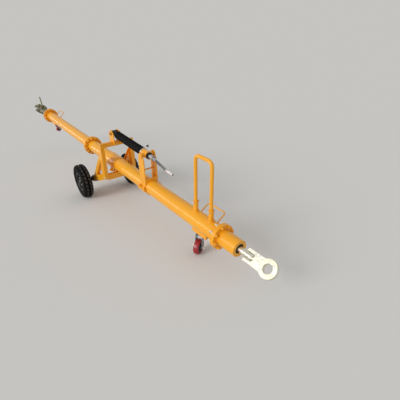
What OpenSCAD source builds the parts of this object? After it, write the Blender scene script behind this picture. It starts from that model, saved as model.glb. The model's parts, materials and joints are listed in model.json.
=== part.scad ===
// Aircraft tow bar with a jacked two-wheel carriage.
// Modelled lying along X: the tow eye points to +X, the aircraft head to -X, +Z is up.
// Stations are distances behind the centre of the tow eye, measured along the bar.
// The bar stands on its front caster and on the carriage wheels, so it is pitched up a little at the rear.

/* [Bar] */
// outside diameter of the front tube
front_tube_d = 159; // [120:1:200]
// outside diameter of the rear tube
rear_tube_d = 152; // [110:1:190]
// wall thickness of the front tube
front_wall = 10; // [6:0.5:14]
// wall thickness of the rear tube
rear_wall = 4.5; // [4:0.5:8]
// station of the joint between head and front tube
front_joint = 497; // [440:1:560]
// station of the joint between front and rear tube
main_joint = 3292; // [3150:1:3500]
// station of the joint between rear tube and aircraft head
far_joint = 5450; // [4200:1:5800]
// outside diameter of the front flanges
front_flange_d = 224; // [205:1:260]
// outside diameter of the main and far flanges
main_flange_d = 252; // [240:1:290]
// thickness of every flange plate
flange_t = 20; // [14:1:28]

/* [Tow eye] */
// bore of the tow eye
eye_bore = 76; // [50:1:90]
// outside diameter of the eye ring
eye_ring_d = 150; // [130:1:170]
// thickness of the eye plate
eye_t = 38; // [28:1:50]
// width of the eye plate at its tail
eye_tail_w = 110; // [95:1:124]
// diameter of the swivel shaft
shaft_d = 50; // [40:1:60]
// angle at which the eye rests on its swivel
eye_roll = 45; // [0:1:90]
// outside diameter of the front sleeve
sleeve_d = 142; // [125:1:155]

/* [Wheels] */
// outside diameter of a carriage tyre
tyre_d = 450; // [400:1:480]
// width of a carriage tyre
tyre_w = 122; // [100:1:130]
// distance between the middles of the two carriage tyres
track = 686; // [660:1:720]
// diameter of the front caster wheel
caster_d = 146; // [110:1:156]
// width of the front caster wheel
caster_w = 50; // [36:1:54]
// diameter of the rear caster wheel, a smaller caster of the same make-up
rear_caster_d = 102; // [90:1:120]

/* [Handles] */
// height of the tow handle above the axis of the bar
handle_h = 619; // [500:1:680]
// distance between the two legs of the tow handle
handle_gap = 207; // [180:1:240]
// diameter of the tow handle tube
handle_d = 32; // [26:1:36]

/* [Jack] */
// height of the jack's trunnion above the axis of the bar
jack_h = 356; // [330:1:380]
// height of the jack's rear eye above the axis of the bar
jack_rear_h = 394; // [375:1:410]
// station of the jack trunnion
jack_station = 1660; // [1600:1:1720]
// station of the jack's rear eye
jack_rear_s = 2425; // [2400:1:2450]
// radius of the crank
crank_r = 210; // [180:1:230]

/* [Hidden] */
$fn = 64;
// running clearance of a pin in its hole, on the diameter
fit = 0.1;
// gap that keeps moving pieces apart
run_gap = 6;
// painted faces of different bodies are kept this far apart
skin = 0.4;
front_r = front_tube_d / 2;
rear_r = rear_tube_d / 2;
// casters: the wheel trails behind the swivel, which rests turned aside
trail = 38;
caster_turn = 117;
front_mount_s = 777;
rear_mount_s = 5150;
front_foot_z = -92;
rear_foot_z = -88;
foot_t = 8;
fork_drop = 151;
rear_fork_drop = 92;
rear_caster_turn = -60;
rear_k = rear_caster_d / caster_d;
caster_r = caster_d / 2;
tread_edge = caster_w / 2 - 7;
front_caster_z = front_foot_z - foot_t - fork_drop;
rear_caster_z = rear_foot_z - foot_t - rear_fork_drop;
front_caster_s = front_mount_s + trail * cos(caster_turn);
// front of the carriage's side frames, and the wheels
frame_s = jack_rear_s - 32;
axle_s = frame_s + 489;
axle_z = -312;
tyre_r = tyre_d / 2;
// pitch that brings the front caster and the two tyres to one level
stand_a = axle_s - front_caster_s;
stand_b = axle_z - front_caster_z;
function stand_pitch(reach) = asin((tyre_r - reach) / sqrt(stand_a * stand_a + stand_b * stand_b))
    - atan2(stand_b, stand_a);
caster_lean = asin(sin(caster_turn) * sin(stand_pitch(caster_r)));
caster_reach = caster_r * cos(caster_lean) + tread_edge * sin(caster_lean);
pitch = stand_pitch(caster_reach);
lift = tyre_r - axle_s * sin(pitch) - axle_z * cos(pitch);
// head that grips the nose gear
head_tip_s = far_joint + 930;
jaw_t = 14;
neck_l = 460;
neck_d = 108;
neck_wall = 6;
pin_in = 100;
jaw_gap = 66;
jaw_low = -jaw_gap / 2 - jaw_t;
eye_r = eye_ring_d / 2;
eye_reach = sqrt(pow(cos(pitch), 2) + pow(sin(eye_roll) * sin(pitch), 2));
bar_front = eye_r * eye_reach + eye_t / 2 * cos(eye_roll) * sin(pitch);
bar_back = -head_tip_s * cos(pitch) + jaw_low * sin(pitch);
bar_mid = (bar_front + bar_back) / 2;
// carriage frame
pivot_s = frame_s + 182;
pivot_z = -118;
pivot_d = 25;
frame_in = 166;
frame_out = 210;
frame_skin = 7;
frame_top = 300;
beam_h = 50;
beam_deep = 40;
axle_d = 30;
// fork that takes the rear eye of the jack
arm_out = 45;
arm_t = 8;
arm_pin_d = 25;
eye_play = 5.2;
// jack
bellows_d = 92;
jack_tube_d = 60;
rod_d = 40;
rod_eye_d = 66;
block_d = 78;
trunnion_pin_d = 28;
ear_in = 66;
ear_t = 10;
ear_w = 108;
crank_angle = 40;
crank_at = 129;
jack_reach = jack_rear_s - jack_station;
jack_tilt = atan2(jack_rear_h - jack_h, jack_reach);
jack_length = sqrt(pow(jack_reach, 2) + pow(jack_rear_h - jack_h, 2));

YELLOW = [0.96, 0.62, 0.13];
ZINC = [0.80, 0.79, 0.62];
STEEL = [0.70, 0.71, 0.72];
CHROME = [0.86, 0.87, 0.88];
BLACK = [0.05, 0.05, 0.055];
RED = [0.55, 0.06, 0.05];

// puts a piece drawn in the bar's frame onto the floor
module on_floor() {
    translate([-bar_mid, 0, lift])
        rotate([0, pitch, 0])
            children();
}

// puts a piece of the jack, drawn about its trunnion, onto the bar
module on_jack() {
    on_floor()
        translate([-jack_station, 0, jack_h])
            rotate([0, jack_tilt, 0])
                children();
}

// box between two corners, stations taken backwards
module block(s0, s1, y0, y1, z0, z1) {
    translate([-s1, y0, z0])
        cube([s1 - s0, y1 - y0, z1 - z0]);
}

// round bar along the bar's axis between two stations
module along(s0, s1, d, z = 0, y = 0) {
    translate([-s1, y, z])
        rotate([0, 90, 0])
            cylinder(h = s1 - s0, d = d);
}

// round bar across, from y0 to y1
module across(y0, y1, d, s, z) {
    translate([-s, y1, z])
        rotate([90, 0, 0])
            cylinder(h = y1 - y0, d = d);
}

// round bar upright, from z0 to z1
module upright(z0, z1, d, s, y = 0) {
    translate([-s, y, z0])
        cylinder(h = z1 - z0, d = d);
}

// plate cut from a side outline of [station, height] points
module side_plate(outline, y0, y1) {
    translate([0, y1, 0])
        rotate([90, 0, 0])
            linear_extrude(y1 - y0)
                polygon([for (p = outline) [-p[0], p[1]]]);
}

slot = shaft_d + 10;
slot_end = 138;

// tow eye: ring, flat tail and the slot that takes the shaft
module tow_eye() {
    color(ZINC)
        on_floor()
            rotate([eye_roll, 0, 0])
                difference() {
                    union() {
                        translate([0, 0, -eye_t / 2])
                            cylinder(h = eye_t, d = eye_ring_d);
                        translate([0, 0, -eye_t / 2])
                            linear_extrude(eye_t)
                                polygon([[-20, -62], [-60, -eye_tail_w / 2], [-215, -eye_tail_w / 2],
                                    [-215, eye_tail_w / 2], [-60, eye_tail_w / 2], [-20, 62]]);
                    }
                    translate([0, 0, -eye_t])
                        cylinder(h = 2 * eye_t, d = eye_bore);
                    translate([-240, -slot / 2, -eye_t])
                        cube([240 - slot_end - 10, slot, 2 * eye_t]);
                    translate([-240, -slot / 2 + 10, -eye_t])
                        cube([240 - slot_end, slot - 20, 2 * eye_t]);
                    for (e = [-1, 1])
                        translate([-slot_end - 10, e * (slot / 2 - 10), -eye_t])
                            cylinder(h = 2 * eye_t, d = 20);
                }
}

// swivel shaft with its inner collar
module eye_shaft() {
    color(ZINC)
        on_floor() {
            along(slot_end, slot_end + 12, shaft_d - 12);
            along(slot_end + 12, 470, shaft_d);
            along(400, 440, 84);
        }
}

// front sleeve with end wall, bore and flange
module front_head() {
    color(YELLOW)
        on_floor()
            difference() {
                union() {
                    along(288, front_joint, sleeve_d);
                    along(front_joint - flange_t, front_joint, front_flange_d);
                }
                along(280, 400, shaft_d + fit);
                along(280, 300, 84);
                along(394, 480, 96);
            }
}

// front tube with its two flanges
module front_tube() {
    color(YELLOW)
        on_floor()
            difference() {
                union() {
                    along(front_joint, main_joint, front_tube_d);
                    along(front_joint, front_joint + flange_t, front_flange_d);
                    along(main_joint - flange_t, main_joint, main_flange_d);
                }
                along(front_joint + 30, main_joint - 30, front_tube_d - 2 * front_wall);
            }
}

// rear tube with its two flanges
module rear_tube() {
    color(YELLOW)
        on_floor()
            difference() {
                union() {
                    along(main_joint, far_joint, rear_tube_d);
                    along(main_joint, main_joint + flange_t, main_flange_d);
                    along(far_joint - flange_t, far_joint, main_flange_d);
                }
                along(main_joint + 30, far_joint - 30, rear_tube_d - 2 * rear_wall);
            }
}

handle_s = 634;

// sockets that hold the legs of the tow handle, each with its cross bolt
module handle_feet() {
    foot_d = handle_d + 14;
    foot_h = 104;
    bolt_d = 15;
    bolt_z = front_r + foot_h - 14;
    color(YELLOW)
        on_floor()
            for (s = [handle_s, handle_s + handle_gap])
                difference() {
                    union() {
                        upright(front_r - 14, front_r + foot_h, foot_d, s);
                        upright(front_r - 14, front_r + 12, foot_d + 12, s);
                        across(-foot_d / 2 - 4, foot_d / 2 + 4, bolt_d, s, bolt_z);
                    }
                    along(s - 60, s + 60, front_tube_d);
                    upright(front_r + 8, front_r + foot_h + 6, handle_d, s);
                }
}

// bent tube of the tow handle
module tow_handle() {
    bend = 46;
    top = handle_h - handle_d / 2;
    color(YELLOW)
        on_floor() {
            for (s = [handle_s, handle_s + handle_gap])
                upright(front_r + 8, top - bend, handle_d, s);
            along(handle_s + bend, handle_s + handle_gap - bend, handle_d, top);
            translate([-handle_s - bend, 0, top - bend])
                rotate([90, 0, 0])
                    rotate_extrude(angle = 90)
                        translate([bend, 0])
                            circle(d = handle_d);
            translate([-handle_s - handle_gap + bend, 0, top - bend])
                rotate([90, 0, 180])
                    rotate_extrude(angle = 90)
                        translate([bend, 0])
                            circle(d = handle_d);
        }
}

// bent rod handle welded to the side of a tube, leaning outwards
module side_handle(s, r, lean) {
    rod = 12;
    reach = 104;
    span = 224;
    bend = 22;
    translate([-s, 0, 0])
        rotate([lean, 0, 0]) {
            for (e = [-1, 1])
                translate([e * span / 2, r - 3, 0])
                    rotate([-90, 0, 0])
                        cylinder(h = reach - bend + 3, d = rod);
            translate([-span / 2 + bend, r + reach, 0])
                rotate([0, 90, 0])
                    cylinder(h = span - 2 * bend, d = rod);
            translate([span / 2 - bend, r + reach - bend, 0])
                rotate_extrude(angle = 90)
                    translate([bend, 0])
                        circle(d = rod);
            translate([-span / 2 + bend, r + reach - bend, 0])
                rotate([0, 0, 90])
                    rotate_extrude(angle = 90)
                        translate([bend, 0])
                            circle(d = rod);
        }
}

module side_handle_front() {
    color(YELLOW)
        on_floor()
            difference() {
                side_handle(735, front_r, 33);
                along(560, 900, front_tube_d);
            }
}

module side_handle_rear() {
    color(YELLOW)
        on_floor()
            difference() {
                side_handle(rear_mount_s - 60, rear_r, 45);
                along(rear_mount_s - 240, rear_mount_s + 120, rear_tube_d);
            }
}

// welded stand of a caster: two cheeks beside the tube and a foot plate under it
module caster_bracket(s, r, foot_z) {
    half = 96;
    difference() {
        union() {
            for (e = [-1, 1])
                side_plate([[s - half, -r + 46], [s + half, -r + 46], [s + half, foot_z], [s - half, foot_z]],
                    e * 44 - 4, e * 44 + 4);
            block(s - half - 4, s + half + 4, -52, 52, foot_z - foot_t, foot_z);
        }
        along(s - half - 20, s + half + 20, 2 * r);
    }
}

// puts a caster's moving pieces at its swivel, turned aside as it rests
module at_swivel(s, turn) {
    translate([-s, 0, 0])
        rotate([0, 0, turn])
            children();
}

// swivel fork: top plate, swivel ring, crown, two arms and the axle; k is its size against the front caster
module caster_fork(top_z, wheel_z, k) {
    arm_y = (caster_w / 2 + 7) * k;
    arm_t = 5;
    back = trail * k;
    crown = top_z - 34 * k;
    upright(top_z - 8 * k, top_z - skin, 88 * k, 0);
    upright(top_z - 26 * k, top_z - 8 * k, 66 * k, 0);
    upright(crown, top_z - 26 * k, 54 * k, 0);
    block(-28 * k, 30 * k, -arm_y - arm_t / 2, arm_y + arm_t / 2, crown - 8 * k, crown);
    for (e = [-1, 1]) {
        side_plate([[-28 * k, crown - 4], [30 * k, crown - 4], [back + 16 * k, wheel_z - 4 * k],
            [back + 9 * k, wheel_z - 15 * k], [back - 9 * k, wheel_z - 15 * k], [back - 16 * k, wheel_z - 4 * k]],
            e * arm_y - arm_t / 2, e * arm_y + arm_t / 2);
        across(e * (arm_y + 5) - 3, e * (arm_y + 5) + 3, 22 * k, back, wheel_z);
    }
    across(-arm_y - 9, arm_y + 9, 12 * k, back, wheel_z);
}

// caster wheel with its bore
module caster_wheel(wheel_z, k) {
    half = caster_w / 2 * k;
    r = caster_r * k;
    bore_r = 6 * k + fit / 2;
    dish = 6 * k;
    translate([-trail * k, 0, wheel_z])
        rotate([90, 0, 0])
            rotate_extrude()
                polygon([[bore_r, -half], [22 * k, -half], [24 * k, -half + dish], [r - 23 * k, -half + dish],
                    [r - 21 * k, -half], [r - 5 * k, -half], [r, -half + 7 * k], [r, half - 7 * k],
                    [r - 5 * k, half], [r - 21 * k, half], [r - 23 * k, half - dish], [24 * k, half - dish],
                    [22 * k, half], [bore_r, half]]);
}

module front_caster_bracket() {
    color(YELLOW)
        on_floor()
            caster_bracket(front_mount_s - 40, front_r, front_foot_z);
}

module front_caster_fork() {
    color(ZINC)
        on_floor()
            at_swivel(front_mount_s, caster_turn)
                caster_fork(front_foot_z - foot_t, front_caster_z, 1);
}

module front_caster_wheel() {
    color(RED)
        on_floor()
            at_swivel(front_mount_s, caster_turn)
                caster_wheel(front_caster_z, 1);
}

module rear_caster_bracket() {
    color(YELLOW)
        on_floor()
            caster_bracket(rear_mount_s, rear_r, rear_foot_z);
}

module rear_caster_fork() {
    color(ZINC)
        on_floor()
            at_swivel(rear_mount_s, rear_caster_turn)
                caster_fork(rear_foot_z - foot_t, rear_caster_z, rear_k);
}

module rear_caster_wheel() {
    color(RED)
        on_floor()
            at_swivel(rear_mount_s, rear_caster_turn)
                caster_wheel(rear_caster_z, rear_k);
}

// one cheek of the jack post: plate on the side of the tube, rounded about the trunnion
module post_ear(side) {
    y0 = side > 0 ? ear_in : -ear_in - ear_t;
    half = ear_w / 2;
    round_d = 68;
    difference() {
        union() {
            side_plate([[jack_station - half, 36], [jack_station + half, 36], [jack_station + half, jack_h - 30],
                [jack_station + round_d / 2, jack_h], [jack_station - round_d / 2, jack_h],
                [jack_station - half, jack_h - 30]], y0, y0 + ear_t);
            across(y0, y0 + ear_t, round_d, jack_station, jack_h);
        }
        across(y0 - 5, y0 + ear_t + 5, trunnion_pin_d + fit, jack_station, jack_h);
        along(jack_station - 90, jack_station + 90, front_tube_d);
    }
}

module post_ear_left() {
    color(YELLOW)
        on_floor()
            post_ear(-1);
}

module post_ear_right() {
    color(YELLOW)
        on_floor()
            post_ear(1);
}

// clamp round the tube: bottom shell with a lip on each side, and the upper lips and web between the cheeks
module post_clamp() {
    half = ear_w / 2 + 14;
    lip = 30;
    lip_t = 9;
    color(YELLOW)
        on_floor()
            difference() {
                union() {
                    along(jack_station - half, jack_station + half, front_tube_d + 16);
                    for (e = [-1, 1])
                        block(jack_station - half, jack_station + half, e > 0 ? front_r - 6 : -front_r - lip,
                            e > 0 ? front_r + lip : -front_r + 6, -lip_t - 1, lip_t + 1);
                    block(jack_station - ear_w / 2, jack_station - ear_w / 2 + 12, -ear_in, ear_in, 0, front_r + 30);
                }
                along(jack_station - 90, jack_station + 90, front_tube_d);
                block(jack_station - 90, jack_station + 90, -front_r - lip - 5, front_r + lip + 5, -1, 1);
                difference() {
                    block(jack_station - 90, jack_station + 90, -ear_in - ear_t, ear_in + ear_t, lip_t + 1, 200);
                    block(jack_station - ear_w / 2, jack_station - ear_w / 2 + 12, -ear_in, ear_in, 0, 190);
                }
                for (e = [-1, 1])
                    block(jack_station - 90, jack_station + 90, e > 0 ? ear_in : -front_r - 20,
                        e > 0 ? front_r + 20 : -ear_in, lip_t + 1, 60);
            }
}

// rod across between the cheeks
module post_tie() {
    color(YELLOW)
        on_floor()
            across(-ear_in, ear_in, 16, jack_station + 4, 196);
}

// block that carries the jack and swings between the cheeks
module trunnion_block() {
    color(YELLOW)
        on_jack()
            difference() {
                union() {
                    along(-38, 62, block_d);
                    across(-ear_in - ear_t - 8, ear_in + ear_t + 8, trunnion_pin_d, 0, 0);
                    across(-ear_in + run_gap, ear_in - run_gap, 46, 0, 0);
                }
                along(-60, 90, jack_tube_d);
            }
}

// black cap in front of the block, round the crank's hub
module jack_cap() {
    color(BLACK)
        on_jack()
            difference() {
                along(-60, -38, 70);
                along(-70, -30, 52);
            }
}

// outer tube of the screw jack
module jack_tube() {
    color(STEEL)
        on_jack()
            difference() {
                along(-38, 470, jack_tube_d);
                along(20, 480, rod_d + fit);
            }
}

// ring nut between the block and the cover
module jack_ring() {
    color(CHROME)
        on_jack()
            difference() {
                along(64, 80, 84);
                along(50, 90, jack_tube_d);
            }
}

// cover of the jack between its two end collars
module bellows() {
    front = 86;
    rear = jack_length - 84;
    color(BLACK)
        on_jack()
            difference() {
                union() {
                    along(front, rear, bellows_d - 8);
                    for (s = [front, rear - 20])
                        along(s, s + 20, bellows_d);
                }
                along(front - 10, rear + 10, jack_tube_d + 2);
            }
}

// rod of the jack with the eye at its rear end; the eye has play round its pin
module jack_rod() {
    color(STEEL)
        on_jack()
            difference() {
                union() {
                    along(230, jack_length - 20, rod_d);
                    across(-arm_out + arm_t + 4, arm_out - arm_t - 4, rod_eye_d, jack_length, 0);
                }
                across(-60, 60, arm_pin_d + 2 * eye_play, jack_length, 0);
            }
}

// hub on the jack screw that the crank arm is clamped to
module crank_hub() {
    color(CHROME)
        on_jack() {
            along(-crank_at - 22, -38 - skin, 30);
            along(-84, -38 - skin, 46);
        }
}

// flat arm of the crank with its eye and the pin of the grip
module crank_arm() {
    color(STEEL)
        on_jack()
            translate([crank_at, 0, 0])
                rotate([crank_angle, 0, 0])
                    difference() {
                        union() {
                            translate([-7, -13, -crank_r])
                                cube([14, 26, crank_r]);
                            translate([-13, 0, 0])
                                rotate([0, 90, 0])
                                    cylinder(h = 26, d = 46);
                            translate([-7, 0, -crank_r])
                                rotate([0, 90, 0])
                                    cylinder(h = 14, d = 26);
                            translate([-7, 0, -crank_r])
                                rotate([0, 90, 0])
                                    cylinder(h = 150, d = 14);
                        }
                        translate([-20, 0, 0])
                            rotate([0, 90, 0])
                                cylinder(h = 40, d = 30);
                    }
}

module crank_grip() {
    color(CHROME)
        on_jack()
            translate([crank_at, 0, 0])
                rotate([crank_angle, 0, 0])
                    translate([7 + skin, 0, -crank_r])
                        rotate([0, 90, 0])
                            difference() {
                                cylinder(h = 130, d = 28);
                                translate([0, 0, -1])
                                    cylinder(h = 140, d = 14 + fit);
                            }
}

// small lever on the block that locks the screw, with its ball
module lock_lever() {
    color(CHROME)
        on_jack()
            rotate([-8, 0, 0]) {
                translate([0, 0, block_d / 2])
                    cylinder(h = 45, d = 9);
                translate([0, 0, block_d / 2 + 50])
                    sphere(d = 20);
            }
}

// half shell on the tube with the two lugs of the carriage pivot
module pivot_saddle() {
    lug_in = 32;
    lug_t = 12;
    color(YELLOW)
        on_floor()
            difference() {
                union() {
                    along(frame_s + 7, pivot_s + 90, front_tube_d + 18);
                    for (e = [-1, 1])
                        side_plate([[pivot_s - 110, -40], [pivot_s + 70, -40], [pivot_s + 34, pivot_z - 6],
                            [pivot_s + 22, pivot_z - 26], [pivot_s - 22, pivot_z - 26], [pivot_s - 36, pivot_z - 6]],
                            e * (lug_in + lug_t / 2) - lug_t / 2, e * (lug_in + lug_t / 2) + lug_t / 2);
                }
                along(frame_s - 20, pivot_s + 120, front_tube_d);
                block(frame_s - 20, pivot_s + 120, -lug_in, lug_in, -170, -60);
                across(-80, 80, pivot_d + fit, pivot_s, pivot_z);
            }
}

module pivot_pin() {
    color(STEEL)
        on_floor() {
            across(-52, 52, pivot_d, pivot_s, pivot_z);
            for (e = [-1, 1])
                across(e * 48 - 3.6, e * 48 + 3.6, 38, pivot_s, pivot_z);
        }
}

// outer outline of a side frame, from its top over the diagonal to the axle and back
frame_outline = [[frame_s, frame_top], [frame_s + 28, frame_top], [frame_s + 42, 190], [frame_s + 112, 126],
    [axle_s - 74, -238], [axle_s + 20, -268], [axle_s + 40, axle_z], [axle_s + 22, axle_z - 36],
    [axle_s - 12, axle_z - 42], [frame_s + 40, -166], [frame_s + 10, -152], [frame_s, -134]];
// opening between the upright, the diagonal and the lower bar
frame_window = [[frame_s + 82, 80], [frame_s + 92, -112], [frame_s + 298, -186]];

// side frame of the carriage, a channel open to the inside
module carriage_side(side) {
    y_out = side * frame_out;
    y_in = side * frame_in;
    difference() {
        side_plate(frame_outline, min(y_in, y_out), max(y_in, y_out));
        side_plate(frame_window, -frame_out - 5, frame_out + 5);
        difference() {
            translate([0, side > 0 ? frame_out - frame_skin : -frame_in + 5, 0])
                rotate([90, 0, 0])
                    linear_extrude(frame_out - frame_in - frame_skin + 5)
                        offset(delta = -frame_skin)
                            difference() {
                                polygon([for (p = frame_outline) [-p[0], p[1]]]);
                                polygon([for (p = frame_window) [-p[0], p[1]]]);
                            }
            across(-frame_out, frame_out, 62, axle_s, axle_z);
        }
        across(-frame_out - 5, frame_out + 5, axle_d, axle_s, axle_z);
    }
}

module carriage_side_left() {
    color(YELLOW)
        on_floor()
            carriage_side(-1);
}

module carriage_side_right() {
    color(YELLOW)
        on_floor()
            carriage_side(1);
}

// square tube across the top of the carriage
module top_beam() {
    color(YELLOW)
        on_floor()
            difference() {
                block(frame_s + 3, frame_s + 3 + beam_deep, -frame_in, frame_in, frame_top - beam_h, frame_top);
                block(frame_s + 7, frame_s - 1 + beam_deep, -frame_in - 1, frame_in + 1, frame_top - beam_h + 4,
                    frame_top - 4);
            }
}

// lower channel across the carriage with the two tongues that take the pivot pin
module lower_beam() {
    low = -168;
    high = -95;
    color(YELLOW)
        on_floor()
            difference() {
                union() {
                    difference() {
                        block(frame_s + 7, frame_s + 47, -frame_in, frame_in, low, high);
                        block(frame_s + 14, frame_s + 60, -frame_in - 1, frame_in + 1, low + 7, high - 7);
                    }
                    for (e = [-1, 1]) {
                        side_plate([[frame_s + 10, low + 2], [frame_s + 10, high - 2], [pivot_s - 14, pivot_z + 23],
                            [pivot_s, pivot_z + 24], [pivot_s, pivot_z - 27], [pivot_s - 20, pivot_z - 27]],
                            e * 20 - 5, e * 20 + 5);
                        across(e * 20 - 5, e * 20 + 5, 54, pivot_s, pivot_z);
                    }
                }
                across(-60, 60, pivot_d + fit, pivot_s, pivot_z);
            }
}

// fork on the top beam that holds the rear end of the jack
module jack_arm() {
    round_d = 84;
    y_mid = arm_out - arm_t / 2;
    color(YELLOW)
        on_floor()
            difference() {
                union()
                    for (e = [-1, 1]) {
                        side_plate([[frame_s - 29, 272], [frame_s + 108, 272], [frame_s + 96, jack_rear_h - 8],
                            [jack_rear_s + round_d / 2 - 2, jack_rear_h + 14], [jack_rear_s - round_d / 2 - 16, jack_rear_h + 14],
                            [frame_s - 29, jack_rear_h - 8]], e * y_mid - arm_t / 2, e * y_mid + arm_t / 2);
                        across(e * y_mid - arm_t / 2, e * y_mid + arm_t / 2, round_d, jack_rear_s, jack_rear_h);
                    }
                block(frame_s + 3, frame_s + 3 + beam_deep, -60, 60, 200, frame_top);
                across(-80, 80, arm_pin_d, jack_rear_s, jack_rear_h);
            }
}

module jack_pin() {
    color(STEEL)
        on_floor() {
            across(-arm_out - 14, arm_out + 14, arm_pin_d, jack_rear_s, jack_rear_h);
            for (e = [-1, 1])
                across(e * (arm_out + 8) - 4, e * (arm_out + 8) + 4, 38, jack_rear_s, jack_rear_h);
        }
}

// stub axle of one wheel with the flange on the side frame
module axle(side) {
    outer = track / 2 + 22;
    flange = 16;
    across(side > 0 ? frame_in : -outer, side > 0 ? outer : -frame_in, axle_d, axle_s, axle_z);
    across(side > 0 ? frame_out : -frame_out - flange, side > 0 ? frame_out + flange : -frame_out, 70,
        axle_s, axle_z);
    across(side > 0 ? frame_out : -track / 2 + 40, side > 0 ? track / 2 - 40 : -frame_out, 46, axle_s, axle_z);
}

module axle_left() {
    color(BLACK)
        on_floor()
            axle(-1);
}

module axle_right() {
    color(BLACK)
        on_floor()
            axle(1);
}

// pressed rim with five round holes in its disc
module rim(side) {
    w = 104;
    r = 112;
    translate([-axle_s, side * track / 2, axle_z])
        rotate([side > 0 ? -90 : 90, 0, 0])
            difference() {
                rotate_extrude()
                    polygon([[(axle_d + fit) / 2, -34], [32, -34], [32, 8], [60, 8], [78, 0], [93, 0], [99, -30],
                        [106, -44], [r, -w / 2], [r + 10, -w / 2], [r + 10, -w / 2 + 5], [r - 1, -38], [106, -22],
                        [102, 0], [106, 22], [r - 1, 38], [r + 10, w / 2 - 5], [r + 10, w / 2], [r, w / 2],
                        [106, 44], [99, 30], [93, 10], [76, 10], [58, 18], [36, 18], [36, 40], [(axle_d + fit) / 2, 40]]);
                for (i = [0:4])
                    rotate([0, 0, 72 * i + 18])
                        translate([62, 0, -20])
                            cylinder(h = 60, d = 26);
            }
}

module rim_left() {
    color(BLACK)
        on_floor()
            rim(-1);
}

module rim_right() {
    color(BLACK)
        on_floor()
            rim(1);
}

// half outline of the tyre from bead to tread middle: [radius, half width]
tyre_outer = [[113, 39], [122, 46], [140, tyre_w / 2 - 4], [160, tyre_w / 2], [185, tyre_w / 2],
    [tyre_r - 18, tyre_w / 2 - 6], [tyre_r - 4, tyre_w / 2 - 18], [tyre_r, tyre_w / 2 - 34]];
tyre_inner = [[113, 29], [130, 38], [160, tyre_w / 2 - 12], [185, tyre_w / 2 - 14], [tyre_r - 22, tyre_w / 2 - 34]];

// tyre carcass, hollow and open at the bead
module tyre(side) {
    translate([-axle_s, side * track / 2, axle_z])
        rotate([90, 0, 0])
            rotate_extrude()
                polygon(concat([for (p = tyre_outer) [p[0], -p[1]]], [for (i = [7:-1:0]) tyre_outer[i]],
                    [for (p = tyre_inner) p], [for (i = [4:-1:0]) [tyre_inner[i][0], -tyre_inner[i][1]]]));
}

module tyre_left() {
    color(BLACK)
        on_floor()
            tyre(-1);
}

module tyre_right() {
    color(BLACK)
        on_floor()
            tyre(1);
}

jaw_s = far_joint + neck_l;
pin_s = head_tip_s - pin_in;
jaw_top = jaw_gap / 2 + jaw_t;
lever_s = jaw_s + 90;
lever_z = jaw_top + 26;

// flange, hollow neck and cross plate that carry the jaws
module head_body() {
    color(ZINC)
        on_floor()
            difference() {
                union() {
                    along(far_joint, far_joint + flange_t, main_flange_d - 6);
                    along(far_joint + flange_t, jaw_s + 60, neck_d);
                    for (a = [0, 90, 180, 270])
                        rotate([a, 0, 0])
                            side_plate([[far_joint + 10, 20], [far_joint + 10, 118], [far_joint + 40, 118],
                                [far_joint + 190, 52], [far_joint + 190, 20]], -6, 6);
                }
                along(far_joint + 40, jaw_s + 30, neck_d - 2 * neck_wall);
                for (e = [-1, 1])
                    block(jaw_s, jaw_s + 80, -80, 80, e > 0 ? jaw_gap / 2 : -80, e > 0 ? 80 : -jaw_gap / 2);
            }
}

// two jaw plates above and below with the pin bores near the tip and a long window that lightens them
module head_jaws() {
    window_w = 90;
    window_s0 = lever_s + 105;
    window_s1 = pin_s - 105;
    color(ZINC)
        on_floor() {
            for (e = [-1, 1])
                difference() {
                    side_plate([[lever_s - 24, jaw_top], [lever_s + 24, jaw_top], [lever_s + 18, lever_z + 12],
                        [lever_s + 8, lever_z + 20], [lever_s - 8, lever_z + 20], [lever_s - 18, lever_z + 12]],
                        e * 24 - 4, e * 24 + 4);
                    across(-40, 40, 16 + fit, lever_s, lever_z);
                }
            for (z0 = [-jaw_gap / 2 - jaw_t, jaw_gap / 2])
                difference() {
                    translate([0, 0, z0])
                        linear_extrude(jaw_t)
                            polygon([[-jaw_s, -58], [-jaw_s - 60, -78], [-pin_s + 110, -92], [-pin_s, -92],
                                [-head_tip_s, -52], [-head_tip_s, 52], [-pin_s, 92], [-pin_s + 110, 92],
                                [-jaw_s - 60, 78], [-jaw_s, 58]]);
                    upright(z0 - 5, z0 + jaw_t + 5, 36 + fit, pin_s);
                    block(window_s0, window_s1, -window_w / 2, window_w / 2, z0 - 5, z0 + jaw_t + 5);
                    for (s = [window_s0, window_s1])
                        upright(z0 - 5, z0 + jaw_t + 5, window_w, s);
                }
        }
}

// pin that closes the jaws
module head_pin() {
    color(STEEL)
        on_floor() {
            upright(jaw_low - 14, jaw_top + 28, 36, pin_s);
            upright(jaw_top + skin, jaw_top + 16, 56, pin_s);
        }
}

// lever on top of the head, with its pivot pin
module head_lever() {
    color(ZINC)
        on_floor() {
            across(-14, 14, 40, lever_s, lever_z);
            across(-30, 30, 16, lever_s, lever_z);
            translate([-lever_s, 0, lever_z])
                rotate([0, -18, 0])
                    cylinder(h = 190, d = 26);
        }
}

tow_eye();
eye_shaft();
front_head();
front_tube();
rear_tube();
handle_feet();
tow_handle();
side_handle_front();
side_handle_rear();
front_caster_bracket();
front_caster_fork();
front_caster_wheel();
rear_caster_bracket();
rear_caster_fork();
rear_caster_wheel();
post_ear_left();
post_ear_right();
post_clamp();
post_tie();
trunnion_block();
jack_cap();
jack_tube();
jack_ring();
bellows();
jack_rod();
crank_hub();
crank_arm();
crank_grip();
lock_lever();
pivot_saddle();
pivot_pin();
carriage_side_left();
carriage_side_right();
top_beam();
lower_beam();
jack_arm();
jack_pin();
axle_left();
axle_right();
rim_left();
rim_right();
tyre_left();
tyre_right();
head_body();
head_jaws();
head_pin();
head_lever();
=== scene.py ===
# Looks of an aircraft tow bar with a jacked two-wheel carriage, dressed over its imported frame.
import json
import math

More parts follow.
